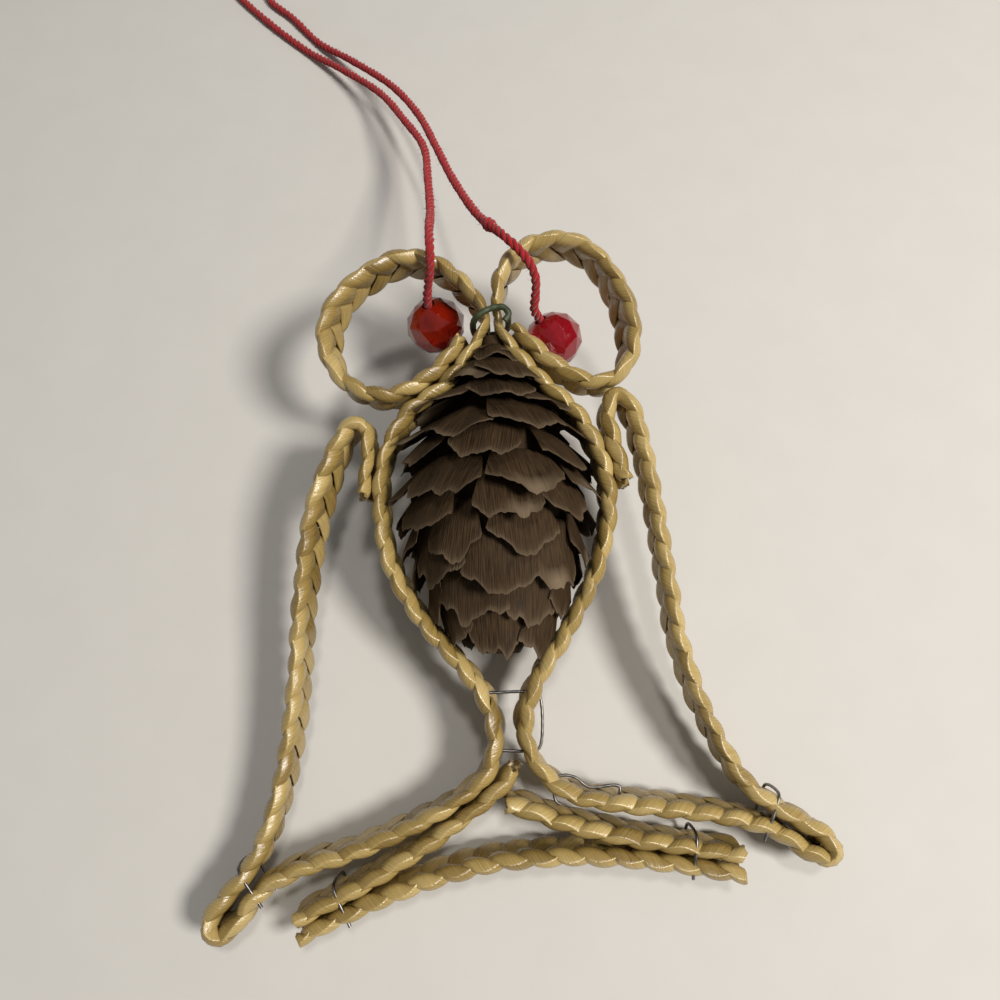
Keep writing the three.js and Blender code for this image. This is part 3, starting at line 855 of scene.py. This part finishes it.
def add_bead(name, material):
    """A barrel of staggered facets about an open bore."""
    at, towards = BEADS[name]
    first = math.degrees(math.asin(BEAD_BORE / BEAD_RADIUS))
    tilts = [first, 33, 60, 90, 120, 147, 180 - first]
    points = []
    for row, tilt in enumerate(tilts):
        ring = BEAD_RADIUS * math.sin(math.radians(tilt))
        along = -BEAD_BARREL * BEAD_RADIUS * math.cos(math.radians(tilt))
        for side in range(BEAD_SIDES):
            b = 2 * math.pi * (side + 0.5 * (row % 2)) / BEAD_SIDES
            points.append((ring * math.cos(b), ring * math.sin(b), along))
    turn = np.array(Vector((0, 0, 1)).rotation_difference(Vector(towards)).to_matrix())
    build = Build()
    build.add(np.array(points) @ turn.T + np.array(at), bead_faces(len(tilts)))
    piece = build.finish(name + "_faceted", material, sharp=1)
    attach(piece, name)


# The green wire that ties the neck, from the curl at its front to its end on the right.
NECK_TIE = [
    [1.6, 30.2, 5.4], [2.3, 31.3, 5.4], [1.4, 32.5, 5.4], [-0.6, 32.4, 5.3], [-2.9, 31.2, 5.1],
    [-3.7, 30.6, 3.6], [-3.5, 30.8, -3.5], [-2.4, 31.4, -5.2], [0.6, 31.9, -5.2],
    [1.9, 32, -3.7], [2.2, 32, 2.4],
]
# Staples, from one end of the wire to the other. The foot's has sprung half open.
STAPLES = {
    "waist": [[-1.4, -31.2, 0], [7.3, -31.2, 0], [7.3, -40.2, 0], [-1.4, -40.2, 0]],
    "foot": [
        [10.4, -48.4, 0.5], [9.4, -47.9, 0.5], [9.6, -44.8, 0.5], [10.3, -43.9, 0.5],
        [12.9, -44.2, 0.5], [14.4, -45.6, 0.5], [15.4, -45.9, 0.5], [19.6, -45.4, 0.5],
        [20.1, -45.9, 0.5], [19.7, -47.1, 0.5],
    ],
    "left_tip": [[-35.8, -63, -3.6], [-39.9, -57.4, -3.6], [-39.9, -57.4, 3.6], [-35.8, -63, 3.6]],
    "right_tip": [[41.6, -52.9, -3.6], [44.3, -46.1, -3.6], [44.3, -46.1, 3.6], [41.6, -52.9, 3.6]],
    "tail_left": [[-22.1, -65.7, -3.6], [-25, -60, -3.6], [-25, -60, 3.6], [-22.1, -65.7, 3.6]],
    "tail_right": [[30.4, -58.6, -3.6], [31.3, -52.3, -3.6], [31.3, -52.3, 3.6], [30.4, -58.6, 3.6]],
}
STAPLE_BEND = 0.7  # how far from a staple's corner its wire starts to turn
NECK_WIRE_RADIUS = 0.55
STAPLE_RADIUS = 0.25
WIRE_STEP = 0.3
WIRE_SIDES = 10


def add_wire(name, node, points, radius, material):
    """A round wire, a little uneven."""
    spine = Spine(points)
    line = spine.at(np.linspace(0, spine.length, round(spine.length / WIRE_STEP) + 2))
    uneven = 1 + 0.06 * np.sin(np.arange(len(line)) * 1.3)
    build = Build()
    build.tube(tube_rings(line, radius * uneven, WIRE_SIDES))
    attach(build.finish(name, material, sharp=50), node)


def bent_corners(corners):
    """A staple's corners, each as two points where the wire starts and ends its bend."""
    points = [np.array(corner, float) for corner in corners]
    bent = [points[0]]
    for before, corner, after in zip(points, points[1:], points[2:]):
        for other in (before, after):
            away = np.linalg.norm(other - corner)
            bent.append(corner + (other - corner) / away * min(STAPLE_BEND, away / 2.5))
    return [*bent, points[-1]]


def add_wires():
    coat = wire_material()
    add_wire("neck_wire_coated", "neck_wire", NECK_TIE, NECK_WIRE_RADIUS, coat)
    steel = steel_material()
    for place, corners in STAPLES.items():
        node = "staple_" + place
        bent = bent_corners(corners)
        add_wire(node + "_wire", node, bent, STAPLE_RADIUS, steel)


# ---- table and light ------------------------------------------------------------------

TABLE_HALF = 1.5  # metres
LIT = Vector((0, 0.01, 0.01))  # what the lights point at, in metres
SKY_STRENGTH = 0.2


def add_table(material):
    mesh = bpy.data.meshes.new("table")
    corners = [(-1, -1), (1, -1), (1, 1), (-1, 1)]
    points = [(x * TABLE_HALF, y * TABLE_HALF, 0) for x, y in corners]
    mesh.from_pydata(points, [], [(0, 1, 2, 3)])
    mesh.materials.append(material)
    table = bpy.data.objects.new("table", mesh)
    bpy.context.scene.collection.objects.link(table)


def add_light(name, azimuth, elevation, distance, size, power, colour):
    """A round soft light. Angles are in degrees, from the owl's right and from the table."""
    data = bpy.data.lights.new(name, "AREA")
    data.shape = "DISK"
    data.size = size
    data.energy = power
    data.color = colour
    light = bpy.data.objects.new(name, data)
    a, e = math.radians(azimuth), math.radians(elevation)
    away = Vector((math.cos(a) * math.cos(e), math.sin(a) * math.cos(e), math.sin(e)))
    light.location = away * distance + LIT
    light.rotation_euler = away.to_track_quat("Z", "Y").to_euler()
    bpy.context.scene.collection.objects.link(light)


def add_lights():
    warm, plain = (1.0, 0.96, 0.9), (1.0, 0.97, 0.93)
    add_light("key", -16, 52, distance=0.7, size=0.17, power=4.9, colour=warm)
    add_light("ceiling", 60, 76, distance=0.8, size=0.1, power=1.5, colour=plain)
    world = bpy.data.worlds.new("room")
    world.use_nodes = True
    sky = world.node_tree.nodes["Background"]
    sky.inputs["Color"].default_value = (1.0, 0.98, 0.95, 1)
    sky.inputs["Strength"].default_value = SKY_STRENGTH
    bpy.context.scene.world = world


def main():
    bpy.context.scene.view_settings.view_transform = "Standard"
    add_camera()
    add_cord(cord_material())
    add_plaits(straw_material())
    add_cone(cone_material())
    dark_red = bead_material("dark_red_glass", (0.1, 0.001, 0.001), (0.5, 0.02, 0.004))
    ruby = bead_material("ruby_glass", (0.2, 0.001, 0.006), (0.55, 0.01, 0.03))
    add_bead("bead_left", dark_red)
    add_bead("bead_right", ruby)
    add_wires()
    add_table(table_material())
    add_lights()


main()
